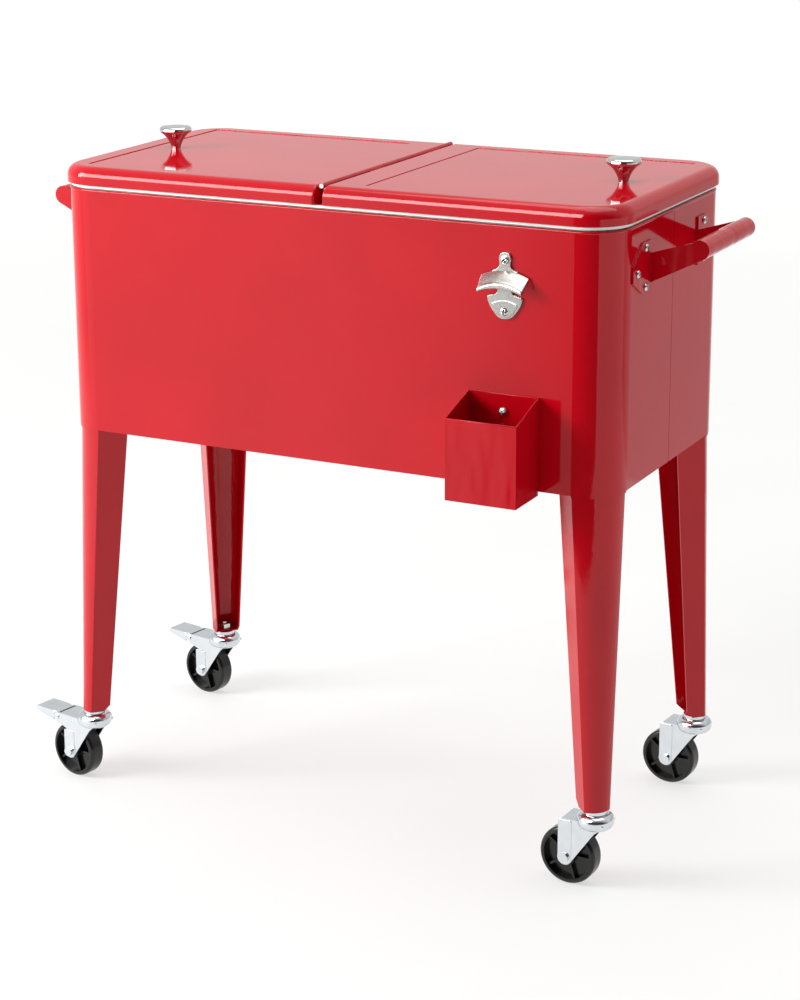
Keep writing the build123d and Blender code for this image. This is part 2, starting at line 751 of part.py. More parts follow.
def make_legs():
    nose_top = corner_radius - leg_top_inset
    over_foot = leg_frame(0).to_local_coords(Vector(stem_x - stem_beyond_foot, stem_y, 0))
    foot = (over_foot.X - stem_from_nose_centre, over_foot.Y)

    def channel(inset, overrun):
        low = leg_section(caster_height, foot, leg_nose_bottom, leg_flange_bottom, inset, overrun)
        high = leg_section(body_bottom, (0, 0), nose_top, leg_flange_top, inset, overrun)
        return loft([low, high], ruled=True)

    leg = channel(0, 0) - channel(leg_sheet, leg_flange_bottom)
    top = leg_section(body_bottom - leg_plate, (0, 0), nose_top + leg_ledge, leg_flange_top, 0, 0)
    leg += extrude(top, leg_plate)
    leg += extrude(leg_section(caster_height, foot, leg_nose_bottom, leg_flange_bottom, 0, 0), leg_plate)
    foot_back = foot[0] + leg_nose_bottom * cos(nose_half_angle) - leg_flange_bottom
    cut = outline([(foot_back - leg_foot_chamfer, caster_height),
                   (foot_back + leg_foot_chamfer, caster_height),
                   (foot_back - leg_foot_chamfer, caster_height + 2 * leg_foot_chamfer)])
    side_plane = Plane(origin=leg_frame(0).origin, x_dir=(1, 1, 0), z_dir=(1, -1, 0))
    leg -= extrude(side_plane * cut, 2 * leg_nose_bottom, both=True)
    leg -= rod_z(stem_diameter / 2 + hole_gap, caster_height, caster_height + leg_plate, stem_x, stem_y)
    for spot in leg_bolt_spots():
        leg -= rod_z(leg_bolt / 2 + hole_gap, body_bottom - leg_plate, body_bottom, spot.X, spot.Y)
    for corner in corners:
        parts[f"{corner}_leg"] = into_corner(leg, corner)
    one = Rot(180, 0, 0) * screw(leg_bolt_head, leg_bolt_head_height, leg_bolt, leg_plate + 2 * shell_sheet,
                                 rivet_nut_diameter, rivet_nut_length)
    parts["leg_bolts"] = Compound(children=[Pos(x, y, body_bottom - leg_plate) * one
                                            for x, y in all_leg_bolt_spots()])
    seat = caster_height + leg_plate
    nut = prism(RegularPolygon(stem_nut_flats / 2, 6, major_radius=False), seat, seat + stem_nut_height)
    nut -= rod_z(stem_diameter / 2 + running_gap, seat, seat + stem_nut_height)
    parts["stem_nuts"] = Compound(children=[Pos(s * stem_x, d * stem_y, 0) * nut
                                            for s, d in corners.values()])


def caster_stem():
    """What stays still in a caster: threaded stem, top cup and king pin with its riveted end."""
    race_top = caster_height - race_drop
    race_bottom = race_top - race_height
    seat = caster_height + leg_plate
    stem = rod_z(stem_diameter / 2, caster_height, seat + stem_nut_height + stem_above_nut)
    stem += rod_z(cup_diameter / 2, race_top + cup_gap, caster_height)
    stem += rod_z(king_pin / 2, race_bottom - cup_gap, race_top + cup_gap)
    return stem + rod_z(king_head / 2, race_bottom - cup_gap - king_head_height, race_bottom - cup_gap)


def caster_fork(braked):
    """The swivelling fork: round race housing, top plate and two cheeks, with tails for a brake."""
    race_top = caster_height - race_drop
    race_bottom = race_top - race_height
    radius = race_diameter / 2
    housing = rod_z(radius, race_bottom, race_top)
    housing = fillet(housing.edges().filter_by(GeomType.CIRCLE), race_round)
    inner = hub_width / 2 + fork_side_gap
    outer = inner + fork_sheet
    axle_z = wheel_diameter / 2
    end = cheek_end_radius
    tail_x = -trail - cheek_tail
    plate_top = race_top - fork_plate_drop
    lean = radians(cheek_front_angle)
    points = [(-trail + end * cos(lean), axle_z - end * sin(lean)),
              (fork_front_low, race_bottom - fork_front_drop), (fork_front_high, plate_top - fork_sheet),
              (fork_front_high, plate_top), (tail_x, plate_top)]
    pivot_x, pivot_z = brake_pivot()
    plate_back = tail_x
    if braked:
        ear = pedal_ear
        plate_back = pivot_x + ear
        points += [(pivot_x, pivot_z + ear), (pivot_x - ear, pivot_z), (pivot_x, pivot_z - ear),
                   (tail_x, pivot_z - 2 * ear)]
    points += [(-trail - end, axle_z)]
    cheek_face = make_face([Polyline(*points), ThreePointArc(points[-1], (-trail, axle_z - end), points[0])])
    cheek = slab_xz(cheek_face, inner, outer)
    top = block((plate_back, 0), (-outer, outer), (plate_top - fork_sheet, plate_top))
    fork = housing + cheek + flip_y(cheek) + top
    fork -= rod_z(king_pin / 2 + running_gap, race_bottom, race_top)
    fork -= rod_y(axle_diameter / 2 + running_gap, -outer, outer, -trail, axle_z)
    if braked:
        fork -= rod_y(brake_pin / 2 + running_gap, -outer, outer, pivot_x, pivot_z)
    return fork


def caster_wheel():
    """A moulded wheel: rounded tread, rim, thin web, hub and spokes on both faces."""
    radius = wheel_diameter / 2
    half = wheel_width / 2
    hub = hub_diameter / 2
    tyre = fillet(rod_y(radius, -half, half).edges().filter_by(GeomType.CIRCLE), wheel_round)
    face = rod_y(radius - wheel_rim, wheel_web / 2, half)
    wheel = tyre - face - flip_y(face)
    wheel += rod_y(hub, -hub_width / 2, hub_width / 2)
    spoke_end = half - spoke_face_step
    for i in range(spoke_count):
        spoke = block((hub / 2, radius - wheel_rim / 2), (-spoke_end, spoke_end),
                      (-spoke_width / 2, spoke_width / 2))
        wheel += Rot(0, i * 360 / spoke_count, 0) * spoke
    wheel -= rod_y(axle_diameter / 2 + running_gap, -hub_width / 2, hub_width / 2)
    return Pos(-trail, 0, radius) * wheel


def caster_axle():
    """The axle bolt through the cheeks, with its round head in front and its nut behind."""
    outer = hub_width / 2 + fork_side_gap + fork_sheet
    end = outer + axle_head_height
    z = wheel_diameter / 2
    head = rod_y(axle_head / 2, -end, -outer, -trail, z)
    nut = slab_xz(Pos(-trail, z) * RegularPolygon(axle_head / 2, 6), outer, end)
    return rod_y(axle_diameter / 2, -outer, outer, -trail, z) + head + nut


def brake_pivot():
    return -trail - pedal_pivot_back, caster_height - pedal_pivot_drop


def brake_pedal():
    """A pressed pedal: foot plate with folded sides, two lugs on the pivot between the cheeks, a shoe."""
    pivot_x, pivot_z = brake_pivot()
    inner = hub_width / 2
    top = pivot_z + pedal_rise
    half = pedal_width / 2
    start = pivot_x - pedal_ear - 2 * fit_gap
    lug_half = pedal_ear / 2
    foot = block((-pedal_reach, start), (-half, half), (top - pedal_sheet, top))
    side = outline([(-pedal_reach, top), (start, top), (start, top - pedal_root_depth),
                    (-pedal_reach, top - pedal_tip_depth)])
    flange = slab_xz(side, half - pedal_sheet, half)
    neck = block((start, pivot_x + lug_half), (-inner, inner), (top - pedal_sheet, top))
    lug_face = outline([(start, top), (pivot_x + lug_half, top), (pivot_x + lug_half, pivot_z - lug_half),
                        (pivot_x - lug_half, pivot_z - lug_half)])
    lug = slab_xz(lug_face, inner - pedal_sheet, inner)
    shoe_x = pivot_x - shoe_offset
    shoe_half = inner - pedal_sheet
    shoe = block((shoe_x - shoe_thickness / 2, shoe_x + shoe_thickness / 2), (-shoe_half, shoe_half),
                 (pivot_z - shoe_drop, top - pedal_sheet))
    pedal = foot + flange + flip_y(flange) + neck + lug + flip_y(lug) + shoe
    return pedal - rod_y(brake_pin / 2 + running_gap, -inner, inner, pivot_x, pivot_z)


def brake_pin_piece():
    pivot_x, pivot_z = brake_pivot()
    outer = hub_width / 2 + fork_side_gap + fork_sheet
    head = rod_y(brake_pin_head / 2, outer, outer + brake_pin_head_height, pivot_x, pivot_z)
    return rod_y(brake_pin / 2, -outer, outer, pivot_x, pivot_z) + head + flip_y(head)


def make_casters():
    for corner, (side, depth) in corners.items():
        braked = side < 0
        turn = -swivel_left if braked else -swivel_right
        place = Pos(side * stem_x, depth * stem_y, 0) * Rot(0, 0, turn)
        pieces = {"caster_stem": caster_stem(), "caster_fork": caster_fork(braked), "wheel": caster_wheel(),
                  "axle": caster_axle()}
        if braked:
            pieces["brake_pedal"] = brake_pedal()
            pieces["brake_pin"] = brake_pin_piece()
        for name, piece in pieces.items():
            parts[f"{corner}_{name}"] = place * piece


def make_drain():
    bore = drain_bore / 2
    outer = bore + drain_wall
    low = body_bottom - drain_drop
    flange_top = liner_floor + drain_flange_height
    tube = rod_z(outer, low, liner_floor) + rod_z(drain_flange / 2, liner_floor, flange_top)
    tube -= rod_z(bore, low, flange_top)
    nut_top = body_bottom + shell_sheet
    nut = rod_z(drain_nut_diameter / 2, nut_top - drain_nut_height, nut_top)
    nut -= rod_z(outer + running_gap, nut_top - drain_nut_height, nut_top)
    plug = rod_z(bore - running_gap, low, low + plug_length)
    plug += rod_z(plug_head / 2, low - plug_head_height, low)
    for name, piece in {"drain_tube": tube, "drain_nut": nut, "drain_plug": plug}.items():
        parts[name] = Pos(drain_x, 0, 0) * piece


make_shells()
make_bottom_panel()
make_panel_rivets()
make_liner()
make_insulation()
make_hinge()
for lid_side in ("left", "right"):
    make_lid(lid_side)
make_handles()
make_opener()
make_catcher()
make_front_screws()
make_legs()
make_casters()
make_drain()

os.makedirs("parts", exist_ok=True)
for node, shape in parts.items():
    export_step(shape, f"parts/{node}.step")
print(len(parts), "pieces")
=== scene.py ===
import json
from math import cos, pi, radians, sin

import bmesh
import bpy
from mathutils import Matrix, Vector


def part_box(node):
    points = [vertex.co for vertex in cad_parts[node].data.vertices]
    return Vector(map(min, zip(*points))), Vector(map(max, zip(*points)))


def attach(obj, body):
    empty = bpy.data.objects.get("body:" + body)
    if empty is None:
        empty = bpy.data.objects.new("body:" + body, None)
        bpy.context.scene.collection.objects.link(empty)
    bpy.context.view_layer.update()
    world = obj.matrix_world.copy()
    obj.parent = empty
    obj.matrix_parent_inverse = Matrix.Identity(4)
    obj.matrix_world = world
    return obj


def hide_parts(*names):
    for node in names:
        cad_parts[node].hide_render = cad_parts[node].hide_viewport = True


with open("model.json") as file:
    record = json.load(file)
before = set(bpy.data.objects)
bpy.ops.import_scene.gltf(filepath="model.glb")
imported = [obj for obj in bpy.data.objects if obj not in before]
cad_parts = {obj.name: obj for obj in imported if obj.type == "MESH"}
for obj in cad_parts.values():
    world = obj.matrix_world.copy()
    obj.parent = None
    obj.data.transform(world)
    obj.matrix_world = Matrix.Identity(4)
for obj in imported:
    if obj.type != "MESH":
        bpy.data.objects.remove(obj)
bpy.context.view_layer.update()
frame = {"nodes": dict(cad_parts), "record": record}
nodes = frame["nodes"]
joints = {joint["name"]: joint for joint in frame["record"]["behaviour"]["joints"]}

MM = 0.001
CORNERS = [f"{end}_{side}" for end in ("front", "rear") for side in ("left", "right")]

# Camera, fitted to the photograph's edges (metres, degrees and pixels of an 800 by 1000 picture)
CAMERA_PLACE = Vector((1.4459, -2.8213, 1.3856))
CAMERA_YAW = -28.37
CAMERA_PITCH = -15.68
CAMERA_ROLL = -0.66
FOCAL_PIXELS = 2453.7
PICTURE_WIDTH = 800
PICTURE_HEIGHT = 1000
CENTRE_X = 340
CENTRE_Y = 440
SENSOR = 36.0
VIEW_REACH = 200


def make_camera():
    """The camera at the photograph's viewpoint, shifted to its framing."""
    yaw, pitch, roll = radians(CAMERA_YAW), radians(CAMERA_PITCH), radians(CAMERA_ROLL)
    forward = Vector((sin(yaw) * cos(pitch), cos(yaw) * cos(pitch), sin(pitch)))
    right = Vector((cos(yaw), -sin(yaw), 0))
    up = right.cross(forward)
    right, up = right * cos(roll) + up * sin(roll), up * cos(roll) - right * sin(roll)
    data = bpy.data.cameras.new("camera")
    data.sensor_width = SENSOR
    data.lens = FOCAL_PIXELS * SENSOR / PICTURE_HEIGHT
    data.shift_x = (PICTURE_WIDTH / 2 - CENTRE_X) / PICTURE_HEIGHT
    data.shift_y = (CENTRE_Y - PICTURE_HEIGHT / 2) / PICTURE_HEIGHT
    data.clip_end = VIEW_REACH
    camera = bpy.data.objects.new("camera", data)
    turn = Matrix((right, up, -forward)).transposed().to_4x4()
    camera.matrix_world = Matrix.Translation(CAMERA_PLACE) @ turn
    bpy.context.scene.collection.objects.link(camera)
    bpy.context.scene.camera = camera


# Noise values between which a material goes from its first value to its second
NOISE_LOW = 0.3
NOISE_HIGH = 0.7
RAMP_MIDDLE = 0.5


class Shader:
    """A new material with its shader, and short ways to add nodes to it."""

    def __init__(self, name, **values):
        self.material = bpy.data.materials.new(name)
        self.material.use_nodes = True
        self.tree = self.material.node_tree
        self.surface = self.tree.nodes["Principled BSDF"]
        for socket, value in values.items():
            self.surface.inputs[socket.replace("_", " ")].default_value = value
        self.place = self.add("ShaderNodeTexCoord").outputs["Object"]

    def add(self, kind, **values):
        """A new node, with values for its sockets and settings."""
        node = self.tree.nodes.new(kind)
        for name, value in values.items():
            if name in node.inputs:
                node.inputs[name].default_value = value
            else:
                setattr(node, name, value)
        return node

    def link(self, source, target):
        self.tree.links.new(source, target)

    def noise(self, scale, detail, stretch=None):
        """Noise over the object, in cycles per metre, drawn out along an axis by stretch."""
        texture = self.add("ShaderNodeTexNoise", Scale=scale, Detail=detail)
        source = self.place
        if stretch:
            mapping = self.add("ShaderNodeMapping", Scale=stretch)
            self.link(source, mapping.inputs["Vector"])
            source = mapping.outputs["Vector"]
        self.link(source, texture.inputs["Vector"])
        return texture.outputs["Fac"]

    def ramp(self, source, stops):
        """Colours or grey values over a source, as a list of (position, value)."""
        node = self.add("ShaderNodeValToRGB")
        while len(node.color_ramp.elements) < len(stops):
            node.color_ramp.elements.new(RAMP_MIDDLE)
        for element, (position, colour) in zip(node.color_ramp.elements, stops):
            element.position = position
            element.color = (*colour, 1.0) if isinstance(colour, tuple) else (colour, colour, colour, 1.0)
        self.link(source, node.inputs["Fac"])
        return node.outputs["Color"]

    def blend(self, source, first, second):
        return self.ramp(source, [(NOISE_LOW, first), (NOISE_HIGH, second)])

    def bump(self, source, depth, strength, under=None):
        """A normal from a source's heights, depth in metres, on top of the bump under it."""
        node = self.add("ShaderNodeBump", Strength=strength, Distance=depth)
        self.link(source, node.inputs["Height"])
        if under:
            self.link(under, node.inputs["Normal"])
        return node.outputs["Normal"]

    def colour(self, source, dark, light):
        self.link(self.blend(source, dark, light), self.surface.inputs["Base Color"])

    def roughness(self, source, low, high):
        self.link(self.blend(source, low, high), self.surface.inputs["Roughness"])

    def normal(self, source):
        self.link(source, self.surface.inputs["Normal"])


# Waves of painted sheet: cycles per metre, depth in metres and strength
FIRM_SHEET_WAVE = (9, 0.0012, 0.04)
THIN_SHEET_WAVE = (22, 0.0030, 0.80)
THIN_SHEET_STRETCH = (1.0, 1.0, 0.25)


def red_paint(name, wave, stretch=None):
    """Gloss powder coat: slight orange peel, faint cloudiness and the sheet's slow waves."""
    s = Shader(name, Specular_IOR_Level=0.38)
    s.colour(s.noise(scale=7, detail=4), dark=(0.47, 0.0009, 0.0070), light=(0.53, 0.0014, 0.0090))
    s.roughness(s.noise(scale=60, detail=4), low=0.05, high=0.09)
    peel = s.bump(s.noise(scale=420, detail=2), depth=0.00010, strength=0.08)
    scale, depth, strength = wave
    s.normal(s.bump(s.noise(scale, detail=2, stretch=stretch), depth, strength, under=peel))
    return s.material


def white_plastic():
    """Moulded tub, pans and edging: even white with a fine texture."""
    s = Shader("white_plastic", Specular_IOR_Level=0.5)
    s.colour(s.noise(scale=14, detail=4), dark=(0.80, 0.80, 0.78), light=(0.87, 0.87, 0.855))
    s.roughness(s.noise(scale=80, detail=4), low=0.28, high=0.40)
    s.normal(s.bump(s.noise(scale=900, detail=2), depth=0.00006, strength=0.3))
    return s.material


def foam():
    """Yellow foam with open cells."""
    s = Shader("foam", Roughness=0.9)
    s.colour(s.noise(scale=300, detail=6), dark=(0.70, 0.58, 0.30), light=(0.86, 0.76, 0.48))
    s.normal(s.bump(s.noise(scale=500, detail=4), depth=0.0008, strength=0.7))
    return s.material


def seal_rubber():
    """Grey rubber of the lid seals."""
    s = Shader("seal_rubber")
    s.colour(s.noise(scale=120, detail=4), dark=(0.50, 0.50, 0.49), light=(0.60, 0.60, 0.59))
    s.roughness(s.noise(scale=200, detail=4), low=0.55, high=0.75)
    s.normal(s.bump(s.noise(scale=1500, detail=2), depth=0.00005, strength=0.4))
    return s.material


def black_plastic():
    """Hard glossy plastic of the wheels."""
    s = Shader("black_plastic", Specular_IOR_Level=0.42)
    s.colour(s.noise(scale=60, detail=5), dark=(0.005, 0.0047, 0.0045), light=(0.009, 0.0085, 0.008))
    s.roughness(s.noise(scale=150, detail=4), low=0.16, high=0.26)
    s.normal(s.bump(s.noise(scale=1200, detail=2), depth=0.00006, strength=0.3))
    return s.material


# Metals: darkest and lightest colour, lowest and highest roughness, clouds and grain in cycles per metre
METALS = {
    "knob_chrome": dict(dark=(0.60, 0.60, 0.59), light=(0.64, 0.64, 0.63), rough=(0.05, 0.09),
                        cloud=30, grain=700),
    "cast_metal": dict(dark=(0.50, 0.49, 0.46), light=(0.58, 0.57, 0.54), rough=(0.20, 0.30),
                       cloud=90, grain=500),
    "screw_steel": dict(dark=(0.60, 0.60, 0.58), light=(0.70, 0.70, 0.68), rough=(0.16, 0.24),
                        cloud=120, grain=1500),
    "zinc_plate": dict(dark=(0.66, 0.70, 0.73), light=(0.72, 0.76, 0.79), rough=(0.13, 0.20),
                       cloud=45, grain=900),
}

# How many times as finely as the colour the gloss varies, and the grain's bump, depth in metres
GLOSS_FINENESS = 3
GRAIN_DEPTH = 0.00001
GRAIN_STRENGTH = 0.4


def metal(name, dark, light, rough, cloud, grain):
    """Bare or plated metal: cloudy colour, uneven gloss and a fine surface grain."""
    s = Shader(name, Metallic=1.0)
    s.colour(s.noise(cloud, detail=5), dark, light)
    s.roughness(s.noise(cloud * GLOSS_FINENESS, detail=4), *rough)
    s.normal(s.bump(s.noise(grain, detail=3), GRAIN_DEPTH, GRAIN_STRENGTH))
    return s.material


materials = {
    "red_paint": red_paint("red_paint", FIRM_SHEET_WAVE),
    "white_plastic": white_plastic(),
    "foam": foam(),
    "seal_rubber": seal_rubber(),
    "black_plastic": black_plastic(),
}
for slot_name, look in METALS.items():
    materials[slot_name] = metal(slot_name, **look)

# Nodes of thin sheet, whose paint shows the waves of the metal
wavy_paint = red_paint("red_paint_thin_sheet", THIN_SHEET_WAVE, THIN_SHEET_STRETCH)
WAVY_NODES = ("cap_catcher", "left_handle", "right_handle")


def dress_cad_nodes():
    """Give every CAD node its material."""
    for subpart in frame["record"]["subparts"]:
        name = subpart["node"]
        node = nodes[name]
        node.data.materials.clear()
        node.data.materials.append(wavy_paint if name in WAVY_NODES else materials[subpart["material_slot"]])


# Rounding of the CAD nodes' edges, in millimetres
SOFT_EDGES = {
    "cap_catcher": 0.5, "left_handle": 0.7, "right_handle": 0.7, "rim_trim": 0.8, "hinge_bridge": 0.3,
    "left_hinge_leaf": 0.3, "right_hinge_leaf": 0.3, "left_lid_skin": 0.3, "right_lid_skin": 0.3,
    "front_left_brake_pedal": 0.8, "rear_left_brake_pedal": 0.8,
}
for corner_name in CORNERS:
    SOFT_EDGES[corner_name + "_leg"] = 0.6
    SOFT_EDGES[corner_name + "_caster_fork"] = 1.1
    SOFT_EDGES[corner_name + "_wheel"] = 0.5

# Points of a node that lie nearer than this are joined first, in millimetres
WELD_DISTANCE = 0.001

# Degrees: faces that meet flatter than the first are joined, edges sharper than the second are rounded
FLAT_ANGLE = 0.5
SHARP_ANGLE = 35
EDGE_STEPS = 3


def add_bevel(piece, width, angle):
    """Round a piece's sharp edges and keep the shading of its flat faces even."""
    edge = piece.modifiers.new("edge", "BEVEL")
    edge.width = width * MM
    edge.segments = EDGE_STEPS
    edge.limit_method = "ANGLE"
    edge.angle_limit = radians(angle)
    piece.modifiers.new("normals", "WEIGHTED_NORMAL").keep_sharp = True


def soften_edges():
    """Round the edges of the bent and moulded CAD nodes."""
    for name, width in SOFT_EDGES.items():
        weld = nodes[name].modifiers.new("weld", "WELD")
        weld.merge_threshold = WELD_DISTANCE * MM
        flat = nodes[name].modifiers.new("flat", "DECIMATE")
        flat.decimate_type = "DISSOLVE"
        flat.angle_limit = radians(FLAT_ANGLE)
        add_bevel(nodes[name], width, SHARP_ANGLE)


def add_piece(name, mesh, slot, body):
    """A new piece from finished mesh work; it rides on a body and wears a slot's material."""
    bmesh.ops.recalc_face_normals(mesh, faces=mesh.faces)
    data = bpy.data.meshes.new(name)
    mesh.to_mesh(data)
    mesh.free()
    data.materials.append(materials[slot])
    piece = bpy.data.objects.new(name, data)
    bpy.context.scene.collection.objects.link(piece)
    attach(piece, body)
    return piece


def round_edges(piece, width, angle):
    """Shade a new piece smooth and round its sharp edges."""
    for polygon in piece.data.polygons:
        polygon.use_smooth = True
    add_bevel(piece, width, angle)


def add_prism(mesh, back_points, front_points):
    """A closed flat solid between two copies of an outline."""
    back, front = ([mesh.verts.new(point) for point in points] for points in (back_points, front_points))
    mesh.faces.new(back)
    mesh.faces.new(front[::-1])
    for i in range(len(back)):
        mesh.faces.new((back[i - 1], front[i - 1], front[i], back[i]))


ARC_STEPS = 10


def arc(x, y, radius, start, stop):
    """Points on a flat arc about (x, y), from one angle in degrees to another."""
    angles = [radians(start + (stop - start) * i / ARC_STEPS) for i in range(ARC_STEPS + 1)]
    return [(x + radius * cos(a), y + radius * sin(a)) for a in angles]


def smooth_line(points, steps):
    """A closed smooth line through the points, as a Catmull-Rom spline."""
    count = len(points)
    line = []
    for i in range(count):
        a, b, c, d = (Vector(points[(i + k) % count]) for k in (-1, 0, 1, 2))
        square = 2 * a - 5 * b + 4 * c - d
        cube = 3 * b - a - 3 * c + d
        for step in range(steps):
            t = step / steps
            line.append(0.5 * (2 * b + (c - a) * t + square * t**2 + cube * t**3))
    return line


def mirrored(half):
    """A whole outline from its right half, listed from top to bottom."""
    return half + [(-x, z) for x, z in reversed(half[1:-1])]


# Opener casting, in millimetres about its middle on the box's front: x to the right, z up, depth outwards
OPENER_PLATE = [
    (0, 41), (5.8, 38.9), (8.0, 33), (7.2, 28), (8.0, 23.5), (12, 19.5), (17, 17), (15, 9), (13, 1),
    (9.5, -6), (12.5, -10.5), (21, -12.8), (23, -16.5), (19.8, -25), (14, -33.5), (8, -39.2), (0, -41),
]
OPENER_JAW = [
    (0, -17.4), (8.5, -18.8), (16.8, -22.6), (15.4, -26.6), (10.9, -33), (6.3, -37.6), (0, -39.4),
]
OUTLINE_STEPS = 6
PLATE_DEPTH = 3.0
JAW_SINK = 1.0
JAW_DEPTH = 4.3
OPENER_EDGE = 0.8
OPENER_SHARP_ANGLE = 50

# The hood: depths of its start and of its lip's middle, half widths, then heights of the back, of the
# front's top and of the lip as a + b u^2 + c u^4 over the width
HOOD_START = 2.5
HOOD_REACH = 18.0
HOOD_HALF_BACK = 32.1
HOOD_HALF_FRONT = 29.1
HOOD_BACK_Z = (19.3, -7.5, -0.4)
HOOD_FRONT_Z = (7.0, -8.4, 0.0)
HOOD_LIP_Z = (-0.6, -6.4, 0.0)
HOOD_BULGE = 0.3
HOOD_SHEET = 4.0
BEAD_DEPTH = 3.0
HOOD_COLUMNS = 33
HOOD_ROWS = 9
UNDER_ROWS = 4
BEAD_STEPS = 8


def add_slab(mesh, place, outline, back, front):
    """A flat casting with a smooth outline between two depths."""
    line = smooth_line(mirrored(outline), OUTLINE_STEPS)
    add_prism(mesh, *([place + Vector((p.x, -depth, p.y)) * MM for p in line] for depth in (back, front)))


def hood_section(u):
    """One upright cut through the hood as (x, depth, z), u from -1 at its left end to 1 at its right."""
    back, front, lip = (a + b * u**2 + c * u**4 for a, b, c in (HOOD_BACK_Z, HOOD_FRONT_Z, HOOD_LIP_Z))

    def on_slope(t, under):
        """A point on the hood's slope, or some way under it, t from 0 at the back to 1 at the lip."""
        top = back + (front - back) * t + HOOD_BULGE * sin(pi * t)
        return HOOD_START + (HOOD_REACH - HOOD_START) * t, top - under

    line = [on_slope(i / HOOD_ROWS, 0) for i in range(HOOD_ROWS)]
    radius = (front - lip) / 2
    for step in range(BEAD_STEPS + 1):
        angle = pi / 2 - pi * step / BEAD_STEPS
        line.append((HOOD_REACH + BEAD_DEPTH * cos(angle), lip + radius + radius * sin(angle)))
    line.append((HOOD_REACH - BEAD_DEPTH, lip + radius / 2))
    line += [on_slope(i / UNDER_ROWS, HOOD_SHEET) for i in reversed(range(UNDER_ROWS))]
    reach = HOOD_REACH + BEAD_DEPTH
    return [(u * (HOOD_HALF_BACK + (HOOD_HALF_FRONT - HOOD_HALF_BACK) * d / reach), d, z) for d, z in line]


def make_opener():
    """The cast bottle opener: screwed plate, lower jaw and arched hood with a rolled lip."""
    low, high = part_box("bottle_opener")
    place = Vector(((low[0] + high[0]) / 2, high[1], (low[2] + high[2]) / 2))
    mesh = bmesh.new()
    add_slab(mesh, place, OPENER_PLATE, 0, PLATE_DEPTH)
    add_slab(mesh, place, OPENER_JAW, PLATE_DEPTH - JAW_SINK, JAW_DEPTH)
    rows = []
    for column in range(HOOD_COLUMNS):
        u = 2 * column / (HOOD_COLUMNS - 1) - 1
        rows.append([mesh.verts.new(place + Vector((x, -d, z)) * MM) for x, d, z in hood_section(u)])
    for before, after in zip(rows, rows[1:]):
        for i in range(len(before)):
            mesh.faces.new((before[i - 1], before[i], after[i], after[i - 1]))
    mesh.faces.new(rows[0])
    mesh.faces.new(rows[-1][::-1])
    piece = add_piece("opener_casting", mesh, "cast_metal", "cart")
    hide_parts("bottle_opener")
    round_edges(piece, OPENER_EDGE, OPENER_SHARP_ANGLE)


# Screw head caps, in millimetres: how far they cover the CAD heads, their height and how much wider they are
CAP_COVER = 0.45
CAP_HEIGHT = 3.6
CAP_GROW = {"front_screws": 0.9, "handle_screws": 0.4}

# Powers a and b of the caps' crown, which falls as (1 - r^a)^b from the middle to the edge
CAP_CROWN = (3, 0.6)
CAP_RINGS = 14
CAP_SPOKES = 48

# The axis that each node's screws face along, 0 for x and 1 for y
SCREW_AXIS = {"front_screws": 1, "handle_screws": 0}

# Cross recess: length and width as shares of the head's radius, depth in millimetres, and radians from one
# screw's cross to the next one's
CROSS_LENGTH = 0.62
CROSS_WIDTH = 0.15
CROSS_DEPTH = 0.4
CROSS_TURN = 0.7

# Points of one screw that lie nearer than this count as one, in millimetres
SHELL_WELD = 0.01


def islands(mesh):
    """The boxes of a mesh's separate shells, as (lowest corner, highest corner), in order of place."""
    shells = bmesh.new()
    shells.from_mesh(mesh)
    bmesh.ops.remove_doubles(shells, verts=shells.verts, dist=SHELL_WELD * MM)
    left = set(shells.verts)
    boxes = []
    while left:
        group, queue = [], [left.pop()]
        while queue:
            vert = queue.pop()
            group.append(vert.co.copy())
            for edge in vert.link_edges:
                other = edge.other_vert(vert)
                if other in left:
                    left.remove(other)
                    queue.append(other)
        boxes.append([Vector([pick(p[i] for p in group) for i in range(3)]) for pick in (min, max)])
    shells.free()
    return sorted(boxes, key=lambda box: [round(value / MM) for value in box[0]])


def add_cap(mesh, place, out, radius, turn):
    """One pan head with a cross recess painted black as shade: place is the middle of its base, out the way
    it faces.
    """
    side = out.orthogonal().normalized()
    up = out.cross(side)
    power, root = CAP_CROWN

    def in_cross(x, y):
        x, y = abs(x * cos(turn) + y * sin(turn)), abs(y * cos(turn) - x * sin(turn))
        return max(x, y) < CROSS_LENGTH * radius and min(x, y) < CROSS_WIDTH * radius

    def on_head(r, angle):
        x, y = r * cos(angle), r * sin(angle)
        crown = CAP_HEIGHT * MM * (1 - (r / radius) ** power) ** root
        return place + side * x + up * y + out * (crown - CROSS_DEPTH * MM * in_cross(x, y))

    rings = [[mesh.verts.new(on_head(0, 0))]]
    for ring in range(1, CAP_RINGS + 1):
        angles = [2 * pi * spoke / CAP_SPOKES for spoke in range(CAP_SPOKES)]
        rings.append([mesh.verts.new(on_head(radius * ring / CAP_RINGS, angle)) for angle in angles])
    faces = []
    for i in range(CAP_SPOKES):
        faces.append(mesh.faces.new((rings[0][0], rings[1][i - 1], rings[1][i])))
        for inner, outer in zip(rings[1:], rings[2:]):
            faces.append(mesh.faces.new((inner[i - 1], outer[i - 1], outer[i], inner[i])))
    faces.append(mesh.faces.new(rings[-1][::-1]))
    for face in faces:
        middle = face.calc_center_median() - place
        near_top = middle.dot(out) > CAP_HEIGHT * MM / 2
        face.smooth = True
        # Faces of the cross recess take the second material, black, as painted shade in the recess
        face.material_index = int(near_top and in_cross(middle.dot(side), middle.dot(up)))


